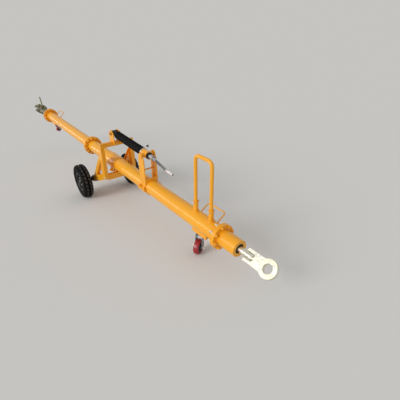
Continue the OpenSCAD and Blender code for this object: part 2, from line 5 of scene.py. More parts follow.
import bmesh
import bpy
from bpy.props import FloatProperty, FloatVectorProperty, IntProperty, PointerProperty
from mathutils import Matrix, Vector

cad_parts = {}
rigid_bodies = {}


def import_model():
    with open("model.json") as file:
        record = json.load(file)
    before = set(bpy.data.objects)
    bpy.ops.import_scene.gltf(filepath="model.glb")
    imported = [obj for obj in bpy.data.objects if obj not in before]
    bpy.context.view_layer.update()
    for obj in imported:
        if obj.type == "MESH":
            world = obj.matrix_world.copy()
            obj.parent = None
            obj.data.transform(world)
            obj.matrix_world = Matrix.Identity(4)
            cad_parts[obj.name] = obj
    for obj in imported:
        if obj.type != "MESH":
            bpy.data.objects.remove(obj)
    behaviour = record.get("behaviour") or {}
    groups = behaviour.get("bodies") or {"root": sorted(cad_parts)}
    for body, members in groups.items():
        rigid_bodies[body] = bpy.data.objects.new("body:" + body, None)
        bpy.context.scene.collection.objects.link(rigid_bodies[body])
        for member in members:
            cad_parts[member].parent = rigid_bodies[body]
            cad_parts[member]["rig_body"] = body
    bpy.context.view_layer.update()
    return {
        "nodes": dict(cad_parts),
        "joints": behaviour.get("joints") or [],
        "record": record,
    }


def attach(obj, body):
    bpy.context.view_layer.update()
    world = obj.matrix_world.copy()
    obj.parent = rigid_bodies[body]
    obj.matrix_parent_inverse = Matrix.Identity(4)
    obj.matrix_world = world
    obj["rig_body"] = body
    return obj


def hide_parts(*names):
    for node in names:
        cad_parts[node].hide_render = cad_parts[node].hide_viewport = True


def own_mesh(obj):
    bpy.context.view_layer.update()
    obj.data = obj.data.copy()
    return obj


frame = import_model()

bl_info = {
    "name": "Aircraft tow bar",
    "version": (1, 0, 0),
    "blender": (4, 5, 0),
    "location": "3D View > Sidebar > Tow bar",
    "description": "Dresses the packed tow bar with its finishes, fasteners, tyres, cover and stage",
    "category": "Object",
}

SLOT = {part["node"]: part["material_slot"] for part in frame["record"]["subparts"]}
JOINTS = {joint["name"]: joint for joint in frame["joints"]}
# materials by short name; the finishes operator fills it
FINISH = {}
# the two sides or ends of a piece
BOTH = (-1, 1)

# the kind of node that does sums
MATH = "ShaderNodeMath"

# pieces are placed in millimetres of a local frame, which turns them to metres
MM = 0.001
FLANGE_T = 20
# outside radii of the swivel's sleeve and the two tubes
SLEEVE_R, FRONT_TUBE_R, REAR_TUBE_R = 71, 79.5, 76
# radius of the tow handle's sockets
SOCKET_R = 29
# radii of the front caster's wheel and of the core inside its tread
ROLLER_R, CORE_R = 73, 52


def local_frame(origin, forward):
    """Frame with X along forward, Y across the bar and Z up from them, in millimetres."""
    forward = Vector(forward).normalized()
    up = forward.cross(Vector((0, 1, 0))).normalized()
    place = Matrix((forward, up.cross(forward), up)).transposed().to_4x4()
    place.translation = Vector(origin)
    return place @ Matrix.Scale(MM, 4)


# the bar's frame starts at the tow eye's centre, 0.3 m ahead of its swivel, and the jack's at its trunnion
BAR_X = Vector(JOINTS["eye_swivel"]["axis"])
EYE = Vector(JOINTS["eye_swivel"]["pos_m"]) + BAR_X * 0.3
BAR = local_frame(EYE, BAR_X)
JACK = local_frame(JOINTS["jack_swing"]["pos_m"], JOINTS["jack_stroke"]["axis"])


def extent(name, place=BAR):
    """Lowest and highest corner of a CAD node in a local frame, in millimetres."""
    back = place.inverted()
    points = [back @ v.co for v in frame["nodes"][name].data.vertices]
    return tuple(Vector([pick(p[i] for p in points) for i in range(3)]) for pick in (min, max))


def angles(count, start=0.0):
    """Angles of even steps round a circle."""
    return [start + math.tau * i / count for i in range(count)]


def linear(code):
    """Linear colour of an sRGB hex value."""
    parts = [int(code[i:i + 2], 16) / 255 for i in (1, 3, 5)]
    return tuple(c / 12.92 if c <= 0.04045 else ((c + 0.055) / 1.055) ** 2.4 for c in parts) + (1.0,)


def feed(made, sockets):
    """Gives a node's inputs their values or the outputs that feed them; a list feeds one input in its order."""
    for key, value in sockets.items():
        for source in value if isinstance(value, list) else [value]:
            if isinstance(source, bpy.types.NodeSocket):
                made.id_data.links.new(source, made.inputs[key])
            else:
                made.inputs[key].default_value = source


def node(tree, kind, sockets=None, out=0, **settings):
    """Adds a node with its settings and links, and returns one of its outputs."""
    made = tree.nodes.new(kind)
    for key, value in settings.items():
        setattr(made, key, value)
    feed(made, sockets or {})
    return made.outputs[out]


# Finishes

def surface(name, **sockets):
    """New material; returns it with its shader and its object coordinates."""
    made = bpy.data.materials.new(name)
    made.use_nodes = True
    tree = made.node_tree
    shader = tree.nodes["Principled BSDF"]
    feed(shader, {key.replace("_", " "): value for key, value in sockets.items()})
    return made, shader, node(tree, "ShaderNodeTexCoord", out="Object")


def grain(coords, size_mm, detail, stretch=(1, 1, 1)):
    """Noise whose lumps are about size_mm across, between 0 and 1, in the tree that coords belong to."""
    tree = coords.id_data
    place = node(tree, "ShaderNodeMapping", {"Vector": coords, "Scale": stretch})
    return node(tree, "ShaderNodeTexNoise", {"Vector": place, "Scale": 1000 / size_mm, "Detail": detail})


def patches(coords, size_mm, detail, low, high, to_low=0.0, to_high=1.0, stretch=(1, 1, 1)):
    """Grain between low and high, stretched to another range and clamped."""
    lumps = grain(coords, size_mm, detail, stretch)
    return node(coords.id_data, "ShaderNodeMapRange", {0: lumps, 1: low, 2: high, 3: to_low, 4: to_high})


def mottled(coords, first, second, *lumps):
    """Colour that goes over to a second one in patches; each is a hex value or a linear colour."""
    first, second = (linear(c) if isinstance(c, str) else c for c in (first, second))
    share = patches(coords, *lumps)
    return node(coords.id_data, "ShaderNodeMix", {0: share, 6: first, 7: second}, 2, data_type="RGBA")


def relief(coords, depth_mm, strength, *lumps):
    """Normal of a surface that grain makes uneven, depth_mm deep."""
    height = grain(coords, *lumps)
    sockets = {"Height": height, "Distance": depth_mm * MM, "Strength": strength}
    return node(coords.id_data, "ShaderNodeBump", sockets)


def enamel(name, colour, deep, dust, coat, dirty):
    """Gloss enamel sprayed on steel: slight peel, colour that deepens in thick coats, dust near the floor."""
    made, shader, coords = surface(name, Roughness=0.35, Specular_IOR_Level=0.35, Coat_Weight=coat,
                                   Coat_Roughness=0.14)
    tree = made.node_tree
    base = mottled(coords, colour, deep, 420, 3, 0.35, 0.65, 0, 0.35)
    # dust thins out over the lowest 0.35 m
    height = node(tree, "ShaderNodeSeparateXYZ", {0: coords}, "Z")
    low = node(tree, "ShaderNodeMapRange", {0: height, 1: 0.0, 2: 0.35, 3: dirty, 4: dirty * 0.08})
    specks = patches(coords, 26, 6, 0.5, 0.72)
    dirt = node(tree, MATH, {0: low, 1: specks}, operation="MULTIPLY")
    feed(shader, {
        "Base Color": node(tree, "ShaderNodeMix", {0: dirt, 6: base, 7: dust}, 2, data_type="RGBA"),
        # scuffs run along the bar, where hands and straps rub it
        "Roughness": patches(coords, 30, 4, 0.4, 0.75, 0.3, 0.5, (0.08, 1, 1)),
        # orange peel is about 2 mm wide, drawn at 5 mm so that it shows
        "Normal": relief(coords, 0.16, 0.35, 5, 1),
    })
    return made


def plated(name, colour, tint, rough, film_mm, marks=None):
    """Bright metal whose surface film drifts between two tints; marks gives the stretch of its tool marks."""
    made, shader, coords = surface(name, Metallic=1.0)
    feed(shader, {"Base Color": mottled(coords, colour, tint, film_mm, 4, 0.36, 0.64),
                  "Roughness": patches(coords, film_mm * 0.35, 5, 0.3, 0.7, rough * 0.75, rough * 1.4)})
    if marks:
        # tool marks are finer than this; 1.5 mm is what shows
        feed(shader, {"Normal": relief(coords, 0.05, 0.4, 1.5, 2, marks)})
    return made


def rubber(name, colour, dust, rough, grit_mm, depth_mm):
    """Moulded rubber: dull and dark, with fine grit and a greyer bloom in patches."""
    made, shader, coords = surface(name, Specular_IOR_Level=0.12)
    feed(shader, {"Base Color": mottled(coords, colour, dust, 60, 5, 0.42, 0.75, 0.0, 0.55),
                  "Roughness": patches(coords, 14, 3, 0.3, 0.7, rough - 0.1, rough + 0.1),
                  "Normal": relief(coords, depth_mm, 0.5, grit_mm, 2)})
    return made


def coated_cloth(name, colour, worn):
    """Coated fabric of the jack's cover: a weave under a dull coat that greys in patches."""
    made, shader, coords = surface(name, Roughness=0.7, Specular_IOR_Level=0.2)
    tree = made.node_tree
    # the real weave is finer; threads 3 mm apart are what shows
    threads = [node(tree, "ShaderNodeTexWave", {"Vector": coords, "Scale": 105.0, "Distortion": 0.6}, "Fac",
                    bands_direction=way) for way in ("X", "Z")]
    weave = node(tree, MATH, dict(enumerate(threads)), operation="MULTIPLY")
    feed(shader, {
        "Base Color": mottled(coords, colour, worn, 35, 4, 0.45, 0.75, 0, 0.5),
        "Normal": node(tree, "ShaderNodeBump", {"Height": weave, "Distance": 0.2 * MM, "Strength": 0.4})})
    return made


def moulded(name, colour, deep, rough, coat=0.0):
    """Cast or moulded part of one colour, with a faint mottle and a fine skin."""
    made, shader, coords = surface(name, Coat_Weight=coat)
    feed(shader, {"Base Color": mottled(coords, colour, deep, 18, 4, 0.35, 0.7),
                  "Roughness": patches(coords, 9, 3, 0.3, 0.7, rough * 0.85, rough * 1.2),
                  "Normal": relief(coords, 0.06, 0.4, 2.5, 2)})
    return made


# Meshes

def piece(name, mesh, body, finish, slot=None, replaces=()):
    """Object of a finished mesh that rides on a body; finish is one name of FINISH, or one for each material.

    A slot, the one given or else the name of the first finish, is worked out but not kept on it."""
    made = bpy.data.objects.new(name, mesh)
    bpy.context.scene.collection.objects.link(made)
    finishes = [finish] if isinstance(finish, str) else finish
    if not mesh.materials:
        for key in finishes:
            mesh.materials.append(FINISH[key])
    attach(made, body)
    slot = slot or finishes[0]
    if replaces:
        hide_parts(*replaces)
    return made


def sharp_edges(shape, crease):
    """Edges whose two faces meet at more than crease degrees."""
    return [e for e in shape.edges if e.is_manifold and e.calc_face_angle(0) > math.radians(crease)]


def shade(shape, crease):
    """Smooth shading that breaks where two faces meet at more than crease degrees."""
    for part in [*shape.faces, *shape.edges]:
        part.smooth = True
    for edge in sharp_edges(shape, crease):
        edge.smooth = False


def finished(shape, name):
    """Mesh of a bmesh, which is freed."""
    mesh = bpy.data.meshes.new(name)
    shape.to_mesh(mesh)
    shape.free()
    return mesh


def to_mesh(shape, name, place, crease=38):
    """Mesh of a bmesh drawn in a local frame, with its faces turned outward and shaded."""
    shape.transform(place)
    bmesh.ops.recalc_face_normals(shape, faces=shape.faces)
    shade(shape, crease)
    return finished(shape, name)


def lathe(shape, profile, steps, closed=False, place=Matrix.Identity(4), mark=0):
    """Turned shape about X from [along, radius] points; a radius of 0 closes it with a pole.

    closed joins the profile's end to its start; mark is the faces' material index."""
    rings = []
    for x, radius in profile:
        if radius == 0:
            rings.append([shape.verts.new(place @ Vector((x, 0, 0)))])
        else:
            rings.append([shape.verts.new(place @ Vector((x, radius * math.cos(t), radius * math.sin(t))))
                          for t in angles(steps)])
    pairs = list(zip(rings, rings[1:])) + ([(rings[-1], rings[0])] if closed else [])
    for first, second in pairs:
        for i in range(steps):
            j = (i + 1) % steps
            corners = [first[i % len(first)], first[j % len(first)],
                       second[j % len(second)], second[i % len(second)]]
            face = shape.faces.new(list(dict.fromkeys(corners)))
            face.material_index = mark


def turned(axis, centre=(0, 0, 0)):
    """Matrix that takes the X axis of a turned shape onto axis, at a centre."""
    turn = Vector((1, 0, 0)).rotation_difference(Vector(axis))
    return Matrix.Translation(centre) @ turn.to_matrix().to_4x4()


def turned_piece(name, lathes, place, body, finish):
    """Piece made of turned shapes; lathes holds what lathe is given for each."""
    shape = bmesh.new()
    for given in lathes:
        lathe(shape, *given)
    piece(name, to_mesh(shape, name, place), body, finish)


def holding(mesh):
    """Passing object of a mesh, to carry its modifiers."""
    holder = bpy.data.objects.new("holder", mesh)
    bpy.context.scene.collection.objects.link(holder)
    return holder


def evaluated(holder):
    """Plain mesh of what an object's modifiers make; the object is removed."""
    bpy.context.view_layer.update()
    depsgraph = bpy.context.evaluated_depsgraph_get()
    mesh = bpy.data.meshes.new_from_object(holder.evaluated_get(depsgraph), depsgraph=depsgraph)
    bpy.data.objects.remove(holder)
    return mesh


def rounded(names, width, finish=None):
    """Copies of CAD nodes with their edges broken as a file or a paint coat breaks them; width in millimetres."""
    made = []
    for name in names:
        shape = bmesh.new()
        shape.from_mesh(frame["nodes"][name].data)
        bmesh.ops.remove_doubles(shape, verts=shape.verts, dist=2e-6)
        bmesh.ops.dissolve_limit(shape, angle_limit=math.radians(0.6), verts=shape.verts, edges=shape.edges)
        bmesh.ops.bevel(shape, geom=sharp_edges(shape, 32), offset=width * MM, offset_type="OFFSET",
                        segments=2, profile=0.5, affect="EDGES", clamp_overlap=True)
        shade(shape, 50)
        holder = holding(finished(shape, name + "_rounded"))
        holder.modifiers.new("even", "WEIGHTED_NORMAL").keep_sharp = True
        made.append(piece(name + "_rounded", evaluated(holder), frame["nodes"][name]["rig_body"],
                          finish or SLOT[name], SLOT[name], [name]))
    return made


# Node trees for what repeats

def new_tree(name, **inputs):
    """Geometry node tree with named inputs and a finish; returns it with its inputs' sockets and output node."""
    tree = bpy.data.node_groups.new(name, "GeometryNodeTree")
    for label, kind in {"Geometry": "Geometry", **inputs, "Material": "Material"}.items():
        tree.interface.new_socket(label, in_out="INPUT", socket_type="NodeSocket" + kind)
    tree.interface.new_socket("Geometry", in_out="OUTPUT", socket_type="NodeSocketGeometry")
    return tree, tree.nodes.new("NodeGroupInput").outputs, tree.nodes.new("NodeGroupOutput")


def end_tree(tree, geometry, given, target):
    """Turns instances to real faces and gives them their finish."""
    real = node(tree, "GeometryNodeRealizeInstances", {0: geometry})
    feed(target, {0: node(tree, "GeometryNodeSetMaterial", {"Geometry": real, "Material": given["Material"]})})


def grow(kind, mesh, finish, **values):
    """Mesh that a tree makes from a mesh, a finish and its named inputs."""
    holder = holding(mesh)
    modifier = holder.modifiers.new("nodes", "NODES")
    modifier.node_group = bpy.data.node_groups[kind]
    values["Material"] = FINISH[finish]
    for item in modifier.node_group.interface.items_tree:
        if item.in_out == "INPUT" and item.name in values:
            modifier[item.identifier] = values[item.name]
    return evaluated(holder)


def bolt_tree():
    """Hex head on a washer at each point, turned at random about the point's axis."""
    tree, given, target = new_tree("bolts", Flats="Float", Height="Float", Washer="Float", Stub="Float", Seed="Int")
    flats, tall, stub = given["Flats"], given["Height"], given["Stub"]
    # a hexagon's corners lie 0.5774 of its flats from its axis; the head narrows over its upper fifth
    corner, seat, thread, side, slope = (
        node(tree, MATH, {0: size, 1: share}, operation="MULTIPLY")
        for size, share in ((flats, 0.5774), (flats, 0.12), (flats, 0.31), (tall, 0.8), (tall, 0.2)))
    narrow = node(tree, MATH, {0: corner, 1: 0.84}, operation="MULTIPLY")
    top = node(tree, MATH, {0: seat, 1: tall}, operation="ADD")
    # washer, head, its narrow top and the thread's end; each stands a share of a size above a foot
    cylinder, parts = "GeometryNodeMeshCylinder", []
    for kind, sizes, size, share, foot in (
            (cylinder, {"Vertices": 20, "Radius": given["Washer"], "Depth": seat}, seat, 0.5, 0.0),
            (cylinder, {"Vertices": 6, "Radius": corner, "Depth": side}, tall, 0.4, seat),
            ("GeometryNodeMeshCone",
             {"Vertices": 6, "Radius Bottom": corner, "Radius Top": narrow, "Depth": slope}, tall, 0.8, seat),
            (cylinder, {"Vertices": 14, "Radius": thread, "Depth": stub}, stub, 0.5, top)):
        height = node(tree, MATH, {0: size, 1: share, 2: foot}, operation="MULTIPLY_ADD")
        rise = node(tree, "ShaderNodeCombineXYZ", {"Z": height})
        part = node(tree, kind, sizes)
        parts.append(node(tree, "GeometryNodeTransform", {"Geometry": part, "Translation": rise}))
    bolt = node(tree, "GeometryNodeJoinGeometry", {0: parts})
    axis = node(tree, "GeometryNodeInputNamedAttribute", {"Name": "axis"}, data_type="FLOAT_VECTOR")
    facing = node(tree, "FunctionNodeAlignRotationToVector", {"Vector": axis}, axis="Z")
    chance = {2: 0.0, 3: math.tau, "Seed": given["Seed"]}
    angle = node(tree, "FunctionNodeRandomValue", chance, 1, data_type="FLOAT")
    spin = node(tree, "FunctionNodeAxisAngleToRotation", {"Axis": (0, 0, 1), "Angle": angle})
    turn = node(tree, "FunctionNodeRotateRotation", {0: facing, 1: spin}, rotation_space="LOCAL")
    copies = node(tree, "GeometryNodeInstanceOnPoints", {
        "Points": given["Geometry"], "Instance": bolt, "Rotation": turn})
    end_tree(tree, copies, given, target)


def weld_tree():
    """Weld bead: overlapping drops laid along every edge path of the mesh."""
    tree, given, target = new_tree("weld", Bead="Float", Step="Float", Seed="Int")
    path = node(tree, "GeometryNodeMeshToCurve", {0: given["Geometry"]})
    points = node(tree, "GeometryNodeResampleCurve", {"Curve": path, "Length": given["Step"]}, mode="LENGTH")
    drop = node(tree, "GeometryNodeMeshIcoSphere", {"Radius": given["Bead"], "Subdivisions": 1})
    size = node(tree, "FunctionNodeRandomValue", {2: 0.85, 3: 1.15, "Seed": given["Seed"]}, 1, data_type="FLOAT")
    copies = node(tree, "GeometryNodeInstanceOnPoints", {"Points": points, "Instance": drop, "Scale": size})
    real = node(tree, "GeometryNodeRealizeInstances", {0: copies})
    end_tree(tree, node(tree, "GeometryNodeSetShadeSmooth", {0: real}), given, target)


def ring_tree():
    """The mesh repeated about the X axis, Count times."""
    tree, given, target = new_tree("ring", Count="Int")
    points = node(tree, "GeometryNodePoints", {"Count": given["Count"]})
    index = node(tree, "GeometryNodeInputIndex")
    share = node(tree, MATH, {0: index, 1: given["Count"]}, operation="DIVIDE")
    angle = node(tree, MATH, {0: share, 1: math.tau}, operation="MULTIPLY")
    turn = node(tree, "FunctionNodeAxisAngleToRotation", {"Axis": (1, 0, 0), "Angle": angle})
    copies = node(tree, "GeometryNodeInstanceOnPoints", {
        "Points": points, "Instance": given["Geometry"], "Rotation": turn})
    end_tree(tree, copies, given, target)


def pleat_tree():
    """Pleated sleeve along X, back from Start, between two radii."""
    tree, given, target = new_tree("pleats", Start="Float", Length="Float", Pleats="Int", Outer="Float",
                                   Inner="Float")
    far = node(tree, MATH, {0: given["Start"], 1: given["Length"]}, operation="SUBTRACT")
    first, last = (node(tree, "ShaderNodeCombineXYZ", {"X": x}) for x in (given["Start"], far))
    line = node(tree, "GeometryNodeCurvePrimitiveLine", {"Start": first, "End": last})
    # six rings of vertices a fold, and one more at the end
    count = node(tree, MATH, {0: given["Pleats"], 1: 6, 2: 1.0}, operation="MULTIPLY_ADD")
    path = node(tree, "GeometryNodeResampleCurve", {"Curve": line, "Count": count})
    # goes from 0 to 1 and back in each fold, blunter outside than inside
    fold = node(tree, "GeometryNodeSplineParameter")
    for operation, by in (("MULTIPLY", given["Pleats"]), ("MULTIPLY", 2.0), ("PINGPONG", 1.0), ("POWER", 0.7)):
        fold = node(tree, MATH, {0: fold, 1: by}, operation=operation)
    radius = node(tree, "ShaderNodeMapRange", {0: fold, 3: given["Inner"], 4: given["Outer"]})
    circle = node(tree, "GeometryNodeCurvePrimitiveCircle", {"Resolution": 40, "Radius": 1.0})
    skin = node(tree, "GeometryNodeCurveToMesh", {"Curve": path, "Profile Curve": circle, "Scale": radius})
    end_tree(tree, skin, given, target)


def point_mesh(places, place):
    """Loose vertices with an axis attribute, from [position, axis] pairs in a local frame."""
    mesh = bpy.data.meshes.new("places")
    turn = place.to_3x3() * (1 / MM)
    mesh.from_pydata([place @ Vector(p) for p, _ in places], [], [])
    mesh.attributes.new("axis", "FLOAT_VECTOR", "POINT").data.foreach_set(
        "vector", [c for _, a in places for c in (turn @ Vector(a)).normalized()])
    return mesh


def bolts(name, places, body, flats, finish, seed, tall=0.65, stub=0.1, washer=0.78, slot=None, place=BAR):
    """Bolts at [position, axis] places of a local frame; flats is the size across the head's flats.

    Height and washer radius are shares of flats; stub is how far the thread stands out, in millimetres."""
    mesh = grow("bolts", point_mesh(places, place), finish, Flats=flats * MM, Height=flats * tall * MM,
                Washer=flats * washer * MM, Stub=stub * MM, Seed=seed)
    piece(name, mesh, body, finish, slot)


def bolt_circle(x, radius, count, facing, start):
    """Places of a ring of bolts on a face across the X axis; facing is the way that their heads look."""
    return [((x, radius * math.cos(a), radius * math.sin(a)), (facing, 0, 0)) for a in angles(count, start)]


def welds(name, paths, body, bead, finish, seed, slot=None):
    """Weld beads along paths of the bar's frame; a path is a list of points and whether it closes."""
    verts, edges = [], []
    for points, closed in paths:
        first = len(verts)
        verts += [BAR @ Vector(p) for p in points]
        edges += [(first + i, first + i + 1) for i in range(len(points) - 1)]
        if closed:
            edges.append((len(verts) - 1, first))
    mesh = bpy.data.meshes.new("paths")
    mesh.from_pydata(verts, edges, [])
    # the drops lie 0.75 of their radius apart
    mesh = grow("weld", mesh, finish, Bead=bead * MM, Step=bead * 0.75 * MM, Seed=seed)
    piece(name, mesh, body, finish, slot)


def ring(x, radius):
    """Closed circle about the X axis."""
    return [(x, radius * math.cos(t), radius * math.sin(t)) for t in angles(64)], True


# Settings

def colour_setting(name, description, code):
    """Colour property whose default is an sRGB hex value."""
    return FloatVectorProperty(name=name, description=description, subtype="COLOR", size=4, min=0, max=1,
                               default=linear(code))


def size_setting(name, description, value):
    """Length property whose default is in millimetres."""
    return FloatProperty(name=name, description=description, default=value * MM, min=0, unit="LENGTH")


class TowBarPaint(bpy.types.PropertyGroup):
    """Colours of the finishes."""
    enamel: colour_setting("Enamel", "Orange-yellow enamel of the steelwork", "#F9AE1E")
    enamel_deep: colour_setting("Enamel, thick", "Enamel where the coat is thick", "#F29B12")
    dust: colour_setting("Dust", "Dust that settles near the floor", "#8A8377")
    zinc: colour_setting("Zinc plate", "Pale passivated zinc", "#EFEEE3")
    zinc_tint: colour_setting("Zinc plate, yellow", "Yellow drift of the passivation", "#E9E4CA")
    chrome: colour_setting("Chrome", "Satin chrome plate", "#F0F2F4")
    steel: colour_setting("Steel", "Ground steel", "#A9ABAD")
    black: colour_setting("Black enamel", "Enamel of rims and axles", "#0F1011")
    tyre: colour_setting("Tyre rubber", "Rubber of the tyres", "#080809")
    cover: colour_setting("Cover", "Coated fabric over the jack", "#0A0A0C")
    roller: colour_setting("Caster tread", "Red polyurethane", "#A81E24")


class TowBarSizes(bpy.types.PropertyGroup):
    """Sizes and counts of what the looks add."""
    edge: size_setting("Broken edge", "Width of the rounding along edges", 1.6)
    weld: size_setting("Weld bead", "Half width of a weld bead", 4.0)
    front_bolts: IntProperty(name="Front flange bolts", description="Bolts in the front flange", default=8, min=3)
    main_bolts: IntProperty(name="Main flange bolts", description="Bolts in each large flange", default=12, min=3)
    lugs: IntProperty(name="Tread lugs", description="Blocks on each side of a tyre", default=26, min=8)
    tread: size_setting("Tread depth", "Depth of the tyre's tread", 13.0)
    pleats: IntProperty(name="Pleats", description="Folds of the jack's cover", default=27, min=6)


class TowBarStage(bpy.types.PropertyGroup):
    """Floor and light."""
    floor: colour_setting("Floor", "Plain pale floor", "#E2E1DE")
    key: FloatProperty(name="Key light", description="Strength of the broad soft light", default=1.65, min=0)
    strip: FloatProperty(name="Strip lamp", description="Power of the long lamp beside the bar", default=520,
                         min=0, unit="POWER")
    sky: FloatProperty(name="Sky", description="Strength of the even light all round", default=0.52, min=0)


# Operators

class TOWBAR_OT_stage(bpy.types.Operator):
    """Pale floor, soft light, even sky and the camera at the photograph's angle."""
    bl_idname = "towbar.stage"
    bl_label = "Stage"

    def execute(self, context):
        scene = context.scene
        stage = scene.towbar_stage
        floor_finish = surface("plain_floor", Base_Color=stage.floor, Roughness=0.9, Specular_IOR_Level=0.0)[0]
        bpy.ops.mesh.primitive_plane_add(size=120)
        floor = context.object
        floor.name = "floor"
        floor.data.materials.append(floor_finish)
        world = bpy.data.worlds.new("even_sky")
        scene.world = world
        world.use_nodes = True
        sky = world.node_tree
        key_from = Vector((0.0, -0.92, 0.42)).normalized()
        # the camera and bright metal see the sky as bright as the far floor under it, so that no line parts them
        rays = node(sky, "ShaderNodeLightPath").node.outputs
        seen = rays["Is Camera Ray"]
        for kind in ("Is Glossy Ray", "Is Transmission Ray"):
            seen = node(sky, MATH, {0: seen, 1: rays[kind]}, operation="MAXIMUM")
        lit = stage.sky + stage.key * key_from.z / math.pi
        feed(sky.nodes["Background"], {
            "Color": node(sky, "ShaderNodeMix", {0: seen, 6: (1, 1, 1, 1), 7: tuple(stage.floor)}, 2,
                          data_type="RGBA"),
            "Strength": node(sky, "ShaderNodeMapRange", {0: seen, 1: 0, 2: 1, 3: stage.sky, 4: lit})})
        key = bpy.data.lights.new("key_light", "SUN")
        key.energy = stage.key
        key.angle = math.radians(32)
        middle = EYE - BAR_X * 2.4
        self.hang(scene, key, -key_from, middle + key_from * 6)
        strip = bpy.data.lights.new("strip_lamp", "AREA")
        strip.shape = "RECTANGLE"
        strip.size, strip.size_y = 26.0, 0.8
        strip.energy = stage.strip
        holder = self.hang(scene, strip, Vector((0.0, 7.0, -2.6)).normalized(), middle + Vector((-11.0, -7.0, 2.6)))
        # the strip is there for its line of light along the tubes; it would burn out the floor under it
        holder.visible_diffuse = False
        self.camera(scene)
        scene.view_settings.view_transform = "Standard"
        return {"FINISHED"}

    def hang(self, scene, lamp, aim, spot):
        """Lamp that shines along aim from a spot, its long side along the bar, unseen by the camera."""
        holder = bpy.data.objects.new(lamp.name, lamp)
        scene.collection.objects.link(holder)
        along = (Vector((1, 0, 0)) - aim * aim.x).normalized()
        turn = Matrix((along, (-aim).cross(along), -aim)).transposed().to_4x4()
        turn.translation = spot
        holder.matrix_world = turn
        holder.visible_camera = False
        return holder

    def camera(self, scene):
        """Camera as measured from the photograph, in metres from the tow eye."""
        yaw, pitch, roll = (math.radians(a) for a in (143.607, 25.096, -3.838))
        forward = Vector((math.cos(pitch) * math.cos(yaw), math.cos(pitch) * math.sin(yaw), -math.sin(pitch)))
        level = Vector((math.sin(yaw), -math.cos(yaw), 0))
        rise = level.cross(forward)
        right = level * math.cos(roll) + rise * math.sin(roll)
        up = rise * math.cos(roll) - level * math.sin(roll)
        view = bpy.data.cameras.new("camera")
        view.sensor_width = 36
        # focal length measured as 303.18 pixels of a frame 400 wide
        view.lens = 36 * 303.18 / 400
        view.clip_end = 300
        camera = bpy.data.objects.new("camera", view)
        scene.collection.objects.link(camera)
        turn = Matrix((right, up, -forward)).transposed().to_4x4()
        turn.translation = EYE + Vector((1.1148, -1.3800, 1.3788))
        camera.matrix_world = turn
        scene.camera = camera


class TOWBAR_OT_finishes(bpy.types.Operator):
    """Mixes the finishes and gives every CAD node its own."""
    bl_idname = "towbar.finishes"
    bl_label = "Finishes"

    def execute(self, context):
        paint = context.scene.towbar_paint
        # tool marks that run every way, or along the bar
        even, along = (1, 1, 1), (0.1, 1, 1)
        FINISH.update({
            "yellow_paint": enamel("gloss_enamel_orange_yellow", paint.enamel, paint.enamel_deep, paint.dust,
                                   coat=0.32, dirty=0.04),
            "zinc": plated("zinc_plate_passivated", paint.zinc, paint.zinc_tint, 0.36, 60, even),
            "zinc_blue": plated("zinc_plate_blue", "#B4BCC2", "#8F999F", 0.34, 30, even),
            # the head's olive tint is its plating's own; its darkness beside the other zinc is painted shade
            "olive_zinc_painted_shade": plated("zinc_plate_olive_painted_shade", "#8C876A", "#716C50", 0.38, 45, even),
            "steel": plated("ground_steel", paint.steel, "#8E9092", 0.36, 40, along),
            "chrome": plated("satin_chrome_plate", paint.chrome, "#D5D8DB", 0.3, 80),
            "grip": plated("turned_aluminium_grip", "#F6F7F8", "#E6E8EA", 0.5, 60, along),
            "black_paint": enamel("black_enamel", paint.black, "#0B0B0C", paint.dust, coat=0.1, dirty=0.06),
            "tyre": rubber("tyre_rubber", paint.tyre, "#121211", 0.75, grit_mm=2.0, depth_mm=0.2),
            # greyer rubber for the running face of the tyres' tread
            "tread": rubber("tyre_tread_grey", "#3A3634", "#524D4A", 0.75, grit_mm=2.0, depth_mm=0.25),
            "rubber_cover": coated_cloth("coated_cover_cloth", paint.cover, "#151517"),
            "red_roller": moulded("red_polyurethane", paint.roller, "#8C161B", 0.38, coat=0.15),
            "core": moulded("caster_core_black", "#1C1D1F", "#2A2B2D", 0.4),
            "knob": moulded("black_phenolic", "#0E0E0F", "#161617", 0.2, coat=0.4),
            "dark": moulded("dark_seal_rubber", "#0D0D0E", "#19191A", 0.7),
        })
        for name, made in frame["nodes"].items():
            made.data.materials.clear()
            made.data.materials.append(FINISH[SLOT[name]])
        return {"FINISHED"}


class TOWBAR_OT_edges(bpy.types.Operator):
    """Breaks the sharp edges of the steelwork."""
    bl_idname = "towbar.edges"
    bl_label = "Broken edges"

    def execute(self, context):
        width = context.scene.towbar_sizes.edge / MM
        # machined pieces have a finer edge than cut plate, and the tow eye a wider one
        fine, wide = width * 0.6, width * 1.8
        rounded(["front_head", "front_tube", "rear_tube", "post_ear_left", "post_ear_right", "post_clamp",
                 "carriage_side_left", "carriage_side_right", "top_beam", "lower_beam", "jack_arm",
                 "pivot_saddle", "front_caster_bracket", "rear_caster_bracket", "trunnion_block"], width)
        # the head gets the darker olive zinc, whose darkness is painted shade
        rounded(["head_body", "head_jaws"], width, "olive_zinc_painted_shade")
        rounded(["tow_eye"], wide)
        rounded(["handle_feet", "crank_arm", "crank_hub", "jack_ring", "jack_cap", "pivot_pin",
                 "jack_pin", "rim_left", "rim_right", "axle_left", "axle_right", "eye_shaft"], fine)
        rounded(["crank_grip"], fine, "grip")
        rounded(["front_caster_fork", "rear_caster_fork"], fine, "zinc_blue")
        rounded(["head_pin", "head_lever"], fine, "olive_zinc_painted_shade")
        # the rod's eye, its last 68 mm, is painted black, and the rest of it is ground bright
        rod, = rounded(["jack_rod"], fine)
        rod.data.materials.append(FINISH["black_paint"])
        eye_end = extent("jack_rod", JACK)[0].x + 68
        back = JACK.inverted()
        for face in rod.data.polygons:
            face.material_index = int((back @ face.center).x < eye_end)
        return {"FINISHED"}


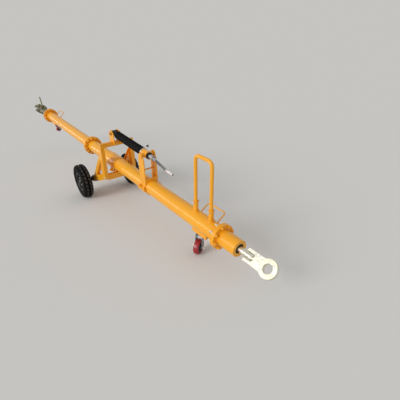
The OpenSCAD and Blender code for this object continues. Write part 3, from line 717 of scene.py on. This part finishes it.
class TOWBAR_OT_bolts(bpy.types.Operator):
    """Bolts of the flanges, clamp, sockets, casters, pins, carriage and jaws."""
    bl_idname = "towbar.bolts"
    bl_label = "Bolts"

    def execute(self, context):
        sizes = context.scene.towbar_sizes
        bolt_tree()
        # the front flange is smaller than the others, and its bolt circle lies closer to its rim
        low, high = extent("front_head")
        for face, side, flats, finish, seed, tall, stub, washer in (
                ("heads", 1, 22, "yellow_paint", 3, 0.65, 0.1, 0.66), ("nuts", -1, 23, "zinc", 4, 0.85, 16, 0.64)):
            spots = bolt_circle(low.x + side * FLANGE_T, high.z - 15, sizes.front_bolts, side, 0.2)
            bolts(f"front_flange_{face}", spots, "bar", flats, finish, seed, tall, stub, washer)
        for name, part in (("main", "front_tube"), ("far", "rear_tube")):
            low, high = extent(part)
            for face, side, seed, stub in (("heads", 1, 5, 0.1), ("nuts", -1, 6, 7)):
                spots = bolt_circle(low.x + side * FLANGE_T, high.z - 21, sizes.main_bolts, side, 0.13)
                bolts(f"{name}_flange_{face}", spots, "bar", 26, "yellow_paint", seed, 0.85, stub)
        low, high = extent("post_clamp")
        spots = [((low.x + (high.x - low.x) * share, side * (high.y - 15), 10 * way), (0, 0, way))
                 for share in (0.16, 0.84) for side in BOTH for way in BOTH]
        bolts("clamp_bolts", spots, "bar", 19, "yellow_paint", 7, 0.7, 4)
        low, high = extent("handle_feet")
        spots = [((x, side * 27, high.z - 14), (0, side, 0))
                 for x in (high.x - SOCKET_R, low.x + SOCKET_R) for side in BOTH]
        bolts("socket_bolts", spots, "bar", 14, "zinc", 8)
        for name in ("front", "rear"):
            low, high = extent(f"{name}_caster_bracket")
            spots = [((low.x + (high.x - low.x) * share, side * 26, low.z + 8), (0, 0, 1))
                     for share in (0.12, 0.88) for side in BOTH]
            bolts(f"{name}_caster_bolts", spots, "bar", 15, "zinc", 9)
        for name, pin, body, flats, seed, tall, stub in (
                ("pivot_nuts", "pivot_pin", "bar", 27, 10, 0.5, 5),
                ("arm_pin_nuts", "jack_pin", "carriage", 24, 11, 0.4, 0.1)):
            low, high = extent(pin)
            middle = (low + high) / 2
            spots = [((middle.x, side * high.y, middle.z), (0, side, 0)) for side in BOTH]
            bolts(name, spots, body, flats, "yellow_paint", seed, tall, stub)
        low, high = extent("carriage_side_left")
        spots = [((high.x - 24, side * 210, low.z + 218), (0, side, 0)) for side in BOTH]
        bolts("frame_bolts", spots, "carriage", 20, "zinc", 12, 0.6, 4)
        low, high = extent("head_jaws")
        spots = [((high.x - 34, y, way * -low.z), (0, 0, way)) for y in (-36, 36) for way in BOTH]
        bolts("jaw_bolts", spots, "bar", 27, "olive_zinc_painted_shade", 13, 0.6, 4, slot="zinc")
        return {"FINISHED"}


class TOWBAR_OT_welds(bpy.types.Operator):
    """Weld beads where the steelwork is joined."""
    bl_idname = "towbar.welds"
    bl_label = "Weld beads"

    def execute(self, context):
        bead = context.scene.towbar_sizes.weld / MM
        weld_tree()
        front, main, far = (extent(n)[0].x for n in ("front_head", "front_tube", "rear_tube"))
        paths = [ring(front + FLANGE_T, SLEEVE_R), ring(front - FLANGE_T, FRONT_TUBE_R),
                 ring(main + FLANGE_T, FRONT_TUBE_R), ring(main - FLANGE_T, REAR_TUBE_R),
                 ring(far + FLANGE_T, REAR_TUBE_R)]
        paths += [ring(corner.x, 82) for corner in extent("pivot_saddle")]
        # round the handle's sockets, where they meet the tube
        low, high = extent("handle_feet")
        for x in (high.x - SOCKET_R, low.x + SOCKET_R):
            circle = [(x + SOCKET_R * math.cos(t), SOCKET_R * math.sin(t)) for t in angles(32)]
            paths.append(([(a, b, math.sqrt(FRONT_TUBE_R ** 2 - b * b)) for a, b in circle], True))
        low, high = extent("post_ear_left")
        paths += [([(low.x, y, 24), (high.x, y, 24)], False) for y in (-76, 76)]
        for name, radius in (("front", FRONT_TUBE_R), ("rear", REAR_TUBE_R)):
            low, high = extent(f"{name}_caster_bracket")
            depth = -math.sqrt(radius ** 2 - 48 ** 2)
            paths += [([(low.x + 4, y, depth), (high.x - 4, y, depth)], False) for y in (-48, 48)]
        welds("bar_welds", paths, "bar", bead, "yellow_paint", 21)
        low, high = extent("top_beam")
        paths = [([(low.x, y, low.z), (high.x, y, low.z), (high.x, y, high.z), (low.x, y, high.z)], True)
                 for y in (-high.y, high.y)]
        paths += [([(low.x, y, high.z), (high.x, y, high.z)], False) for y in (-45, -37, 37, 45)]
        high = extent("lower_beam")[1]
        back, foot, top = high.x - 40, -168, -95
        paths += [([(back, y, foot), (high.x, y, foot), (high.x, y, top), (back, y, top)], False)
                  for y in (-high.y, high.y)]
        welds("carriage_welds", paths, "carriage", bead * 0.9, "yellow_paint", 22)
        welds("head_welds", [ring(far - FLANGE_T, 54)], "bar", bead, "olive_zinc_painted_shade", 23, "zinc")
        return {"FINISHED"}


class TOWBAR_OT_tyres(bpy.types.Operator):
    """Block-tread tyres with their wheel nuts, hub caps and valves."""
    bl_idname = "towbar.tyres"
    bl_label = "Tyres and hubs"

    def execute(self, context):
        sizes = context.scene.towbar_sizes
        ring_tree()
        for name, side in (("left", -1), ("right", 1)):
            body = f"wheel_{name}"
            level = local_frame(JOINTS[f"wheel_{name}_spin"]["pos_m"], BAR_X)
            place = level @ turned((0, side, 0))
            high = extent(f"tyre_{name}", level)[1]
            self.tyre(name, body, place, high.x, high.y, sizes)
            # hub cap with its rolled rim, and a collar on the axle's side
            cap = [(40, 0), (40, 33), (43, 34), (46, 32), (49, 27), (54, 24), (56, 20), (56.5, 0)]
            collar = [(-34, 15.2), (-34, 30), (-38, 29), (-39, 24), (-39, 15.2)]
            turned_piece(f"hub_cap_{name}", [(cap, 40), (collar, 40, True)], place, body, "black_paint")
            nuts = bolt_circle(18, 47, 5, 1, math.radians(54))
            bolts(f"wheel_nuts_{name}", nuts, body, 17, "zinc", 31, 0.75, 5, place=place)
            stem = [(0, 0), (0, 4.5), (14, 4), (15, 3), (26, 3), (27, 4.2), (34, 4.2), (35, 3.4), (35, 0)]
            spot = turned((1, 0.25, 0), (8, 84, 0))
            turned_piece(f"valve_{name}", [(stem, 14, False, spot)], place, body, "dark")
        return {"FINISHED"}

    def tyre(self, name, body, place, radius, half, sizes):
        """Carcass with bead, sidewall rings and grooved tread, and the blocks that stand on it."""
        base = radius - sizes.tread / MM
        # outside from bead to crown, and the inside back to the other bead; each is [across, radius]
        right = [(half - 22, 113), (half - 18, 118), (half - 14, 121), (half - 12, 127), (half - 9, 130),
                 (half - 8.5, 134), (half - 5, 136), (half - 2.5, 146), (half - 0.5, 158), (half, 168),
                 (half - 1.2, 176), (half - 2.4, 178), (half - 1.8, 182), (half - 3.5, base - 32),
                 (half - 7, base - 20), (half - 14, base - 9), (half - 24, base - 3), (half - 40, base)]
        inside = [(half - 33, 113.5), (half - 30, 120), (half - 15, 150), (half - 16, 185), (half - 34, base - 16)]
        shape = bmesh.new()
        lathe(shape, right + [(0, base)] + mirrored(right) + mirrored(inside) + inside, 96, closed=True)
        carcass = to_mesh(shape, "carcass", Matrix.Identity(4), 50)
        step = math.tau / sizes.lugs
        lug = bmesh.new()
        # one block, from the middle groove round the shoulder:
        # place across the tread, radius of its foot and top, half its length as a share of the step
        across = [(12, base - 2, radius - 1.5, 0.3), (15, base - 2, radius, 0.37),
                  (half - 38, base - 2, radius, 0.41), (half - 25, base - 5, radius - 2, 0.4),
                  (half - 14, base - 12, radius - 9, 0.35), (half - 6, base - 22, radius - 20, 0.31),
                  (half - 2.5, base - 33, radius - 36, 0.25)]
        # the two sides' blocks stand half a step apart
        for side in BOTH:
            strip = [(side * a, foot, top, step * share) for a, foot, top, share in across]
            self.block(lug, strip, 0.25 * step * side)
        blocks = to_mesh(lug, "lug", Matrix.Identity(4), 30)
        blocks = grow("ring", blocks, "tyre", Count=sizes.lugs)
        whole = bmesh.new()
        whole.from_mesh(carcass)
        whole.from_mesh(blocks)
        # the tread's running face, the tops of the blocks, gets the greyer tread rubber
        for face in whole.faces:
            middle = face.calc_center_median()
            face.material_index = int(math.hypot(middle.y, middle.z) > radius - 2.5)
        whole.transform(place)
        piece(f"tyre_{name}_tread", finished(whole, f"tyre_{name}_tread"), body, ["tyre", "tread"],
              replaces=[f"tyre_{name}"])

    def block(self, shape, across, middle):
        """One tread block about the angle middle: a strip round the section, with sloping flanks."""
        grid = []
        for along, foot, top, half_angle in across:
            # chamfered corners: the flanks lean out to the foot, and 1.5 mm under the top they turn in
            flank = ((foot, 1.12), (top - 1.5, 1), (top, 0.88))
            outline = [(r, middle - half_angle * lean) for r, lean in flank]
            outline += [(r, middle + half_angle * lean) for r, lean in reversed(flank)]
            grid.append([shape.verts.new((along, r * math.cos(a), r * math.sin(a))) for r, a in outline])
        for first, second in zip(grid, grid[1:]):
            for i in range(len(first)):
                j = (i + 1) % len(first)
                shape.faces.new([first[i], first[j], second[j], second[i]])
        shape.faces.new(grid[0])
        shape.faces.new(list(reversed(grid[-1])))


def mirrored(profile):
    """The profile across the middle, in the order that carries on round the section."""
    return [(-a, r) for a, r in reversed(profile)]


class TOWBAR_OT_casters(bpy.types.Operator):
    """Red caster wheels on their cores, with axle nuts and the swivels' seals."""
    bl_idname = "towbar.casters"
    bl_label = "Casters"

    def execute(self, context):
        for name in ("front", "rear"):
            spin = JOINTS[f"{name}_roller_spin"]
            place = Matrix.Translation(spin["pos_m"]) @ turned(spin["axis"]) @ Matrix.Scale(MM, 4)
            high = extent(f"{name}_caster_wheel", place)[1]
            # both casters are the same but for their size; k is that size, the front one being 1
            k = high.z / ROLLER_R
            half, radius, rim = high.x / k, ROLLER_R, CORE_R
            tread = [(half - 2, rim), (half - 0.5, rim + 3), (half, rim + 6), (half - 1, radius - 6),
                     (half - 4, radius - 2.5), (half - 9, radius - 0.6), (half - 14, radius)]
            core = [(half - 3, rim - 0.5), (half - 4, rim - 3), (half - 9, rim - 7), (half - 10, 27),
                    (half - 4, 23), (half, 20), (half, 6.1)]
            shape = bmesh.new()
            lathe(shape, tread + mirrored(tread) + [(-half + 4, rim - 1), (half - 4, rim - 1)], 56, closed=True)
            lathe(shape, core + mirrored(core), 56, closed=True, mark=1)
            piece(f"{name}_roller_red", to_mesh(shape, f"{name}_roller", place @ Matrix.Scale(k, 4), 30),
                  f"{name}_roller", ["red_roller", "core"], replaces=[f"{name}_caster_wheel"])
            high = extent(f"{name}_caster_fork", place)[1]
            nuts = [((side * high.x, 0, 0), (side, 0, 0)) for side in BOTH]
            bolts(f"{name}_axle_nuts", nuts, f"{name}_fork", 17 * k, "zinc", 41, 0.55, 3, place=place)
            # dark seal between the swivel's two races
            swivel = BAR.inverted() @ Vector(JOINTS[f"{name}_fork_swivel"]["pos_m"])
            high = extent(f"{name}_caster_fork")[1]
            spot = Matrix.Translation((swivel.x, 0, high.z)) @ Matrix.Scale(k, 4) @ turned((0, 0, 1))
            seal = [(-9, 30), (-9, 36), (-11, 38.5), (-15, 38.5), (-17, 36), (-17, 30)]
            turned_piece(f"{name}_swivel_seal", [(seal, 40, True, spot)], BAR, f"{name}_fork", "dark")
        return {"FINISHED"}


class TOWBAR_OT_jack(bpy.types.Operator):
    """Pleated cover, snap ring, rod boot, lock lever, collars, seal, hub screws and grease nipples."""
    bl_idname = "towbar.jack"
    bl_label = "Jack and crank"

    def execute(self, context):
        low, high = extent("bellows", JACK)
        front = high.x + 15
        self.cover(low, high, front, context.scene.towbar_sizes.pleats)
        # snap ring in front of the cover, of 4.8 mm wire
        wire = [(front + 3.6 + 2.4 * math.cos(t), 43.8 + 2.4 * math.sin(t)) for t in angles(10)]
        turned_piece("snap_ring", [(wire, 48, True)], JACK, "jack", "chrome")
        # boot from the rod's eye into the cover's rear end
        eye_front = extent("jack_rod", JACK)[0].x + 66
        boot = [(eye_front + 1, 19), (eye_front + 1, 27), (eye_front + 4, 29), (low.x + 4, 30),
                (low.x + 8, 28), (low.x + 8, 19)]
        turned_piece("rod_boot", [(boot, 36, True)], JACK, "rod", "dark")
        self.lock_lever()
        # set screws in the crank's hub
        spots = [((72, 22.6 * math.cos(t), 22.6 * math.sin(t)), (0, math.cos(t), math.sin(t)))
                 for t in (0.6, 2.7, 4.8)]
        bolts("hub_screws", spots, "crank", 8, "steel", 51, 0.5, place=JACK)
        # collars on the trunnion's ends, outside the post's cheeks
        collar = [(0, 14.2), (0, 27), (1.5, 29), (6, 29), (7.5, 27), (7.5, 14.2)]
        pair = [(collar, 40, True, turned((0, side, 0), (0, side * 76.4, 0))) for side in BOTH]
        turned_piece("trunnion_collars", pair, JACK, "jack", "yellow_paint")
        # lip seal in the mouth of the front sleeve
        mouth = extent("front_head")[1].x
        seal = [(mouth - 11.8, 25.6), (mouth - 4, 25.6), (mouth - 2.5, 28), (mouth - 5, 33), (mouth - 4, 41.8),
                (mouth - 11.8, 41.8)]
        turned_piece("sleeve_seal", [(seal, 48, True)], BAR, "bar", "dark")
        # one grease nipple on the jack and two under the front sleeve, all on the far side
        nipple = [(0, 0), (0, 6), (4, 6), (5, 3.4), (9, 3.4), (10.5, 4.4), (12.5, 4.4), (14, 3), (14, 0)]
        spot = turned((0, 0.6, 0.8), (-20, 23.4, 31.2))
        turned_piece("jack_grease_nipple", [(nipple, 12, False, spot)], JACK, "jack", "zinc")
        pair = [(nipple, 12, False, turned((0, 0.8, -0.6), (x, 56.8, -42.6))) for x in (-340, -430)]
        turned_piece("bar_grease_nipples", pair, BAR, "bar", "zinc")
        return {"FINISHED"}

    def cover(self, low, high, front, pleats):
        """Pleated cover between the bellows node's corners."""
        collar = 20
        pleat_tree()
        mesh = grow("pleats", bpy.data.meshes.new("start"), "rubber_cover", Start=front - collar,
                    Length=front - low.x - 2 * collar, Pleats=pleats, Outer=high.z, Inner=high.z - 10.0)
        shape = bmesh.new()
        shape.from_mesh(mesh)
        # plain cuffs at both ends: the front one fits over the bright ring, the rear one closes on the rod
        lathe(shape, [(front, 42.3), (front, 45), (front - 2, 46), (front - collar, 44),
                      (front - collar - 1, 31), (high.x + 4, 31), (high.x + 4, 42.3)], 40, closed=True)
        lathe(shape, [(low.x, 31), (low.x, 42), (low.x + 2, 44), (low.x + collar, 44),
                      (low.x + collar + 1, 31)], 40, closed=True)
        cover = piece("jack_cover", to_mesh(shape, "jack_cover", JACK, 60), "jack", "rubber_cover",
                      replaces=["bellows"])
        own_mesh(cover)

    def lock_lever(self):
        """Waisted stud with a round black knob, leaning 8 degrees."""
        lean = math.radians(8)
        stud = turned((0, math.sin(lean), math.cos(lean)))
        shape = bmesh.new()
        lathe(shape, [(39, 0), (39, 9), (43, 9), (44, 5.5), (60, 4.5), (80, 4.5), (81, 6.5), (85, 6.5), (85, 0)],
              24, place=stud)
        ball = [(90 - 9 * math.cos(t), 16 * math.sin(t)) for t in (math.pi * i / 12 for i in range(13))]
        # the ends have no radius, so that they close with a pole
        ball[0], ball[-1] = (81, 0), (99, 0)
        lathe(shape, ball, 28, place=stud, mark=1)
        piece("lock_lever_knob", to_mesh(shape, "lock_lever_knob", JACK), "jack", ["chrome", "knob"],
              replaces=["lock_lever"])


# Panel and registration

OPERATORS = (TOWBAR_OT_stage, TOWBAR_OT_finishes, TOWBAR_OT_edges, TOWBAR_OT_bolts, TOWBAR_OT_welds,
             TOWBAR_OT_tyres, TOWBAR_OT_casters, TOWBAR_OT_jack)
SETTINGS = {"towbar_paint": TowBarPaint, "towbar_sizes": TowBarSizes, "towbar_stage": TowBarStage}


class TOWBAR_PT_panel(bpy.types.Panel):
    """Lists the tow bar's operators and settings."""
    bl_idname = "TOWBAR_PT_panel"
    bl_label = "Tow bar"
    bl_space_type = "VIEW_3D"
    bl_region_type = "UI"
    bl_category = "Tow bar"

    def draw(self, context):
        """Operators first, then every setting."""
        for kind in OPERATORS:
            self.layout.operator(kind.bl_idname)
        for name in SETTINGS:
            group = getattr(context.scene, name)
            for key in group.__annotations__:
                self.layout.prop(group, key)


CLASSES = (*SETTINGS.values(), *OPERATORS, TOWBAR_PT_panel)


def register():
    """Adds the classes, and the settings to every scene."""
    for kind in CLASSES:
        bpy.utils.register_class(kind)
    for name, kind in SETTINGS.items():
        setattr(bpy.types.Scene, name, PointerProperty(type=kind))


def unregister():
    """Takes the settings and the classes away again."""
    for name in SETTINGS:
        delattr(bpy.types.Scene, name)
    for kind in reversed(CLASSES):
        bpy.utils.unregister_class(kind)


def main():
    register()
    for call in (bpy.ops.towbar.stage, bpy.ops.towbar.finishes, bpy.ops.towbar.edges, bpy.ops.towbar.bolts,
                 bpy.ops.towbar.welds, bpy.ops.towbar.tyres, bpy.ops.towbar.casters, bpy.ops.towbar.jack):
        call()
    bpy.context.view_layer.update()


if __name__ == "__main__":
    main()
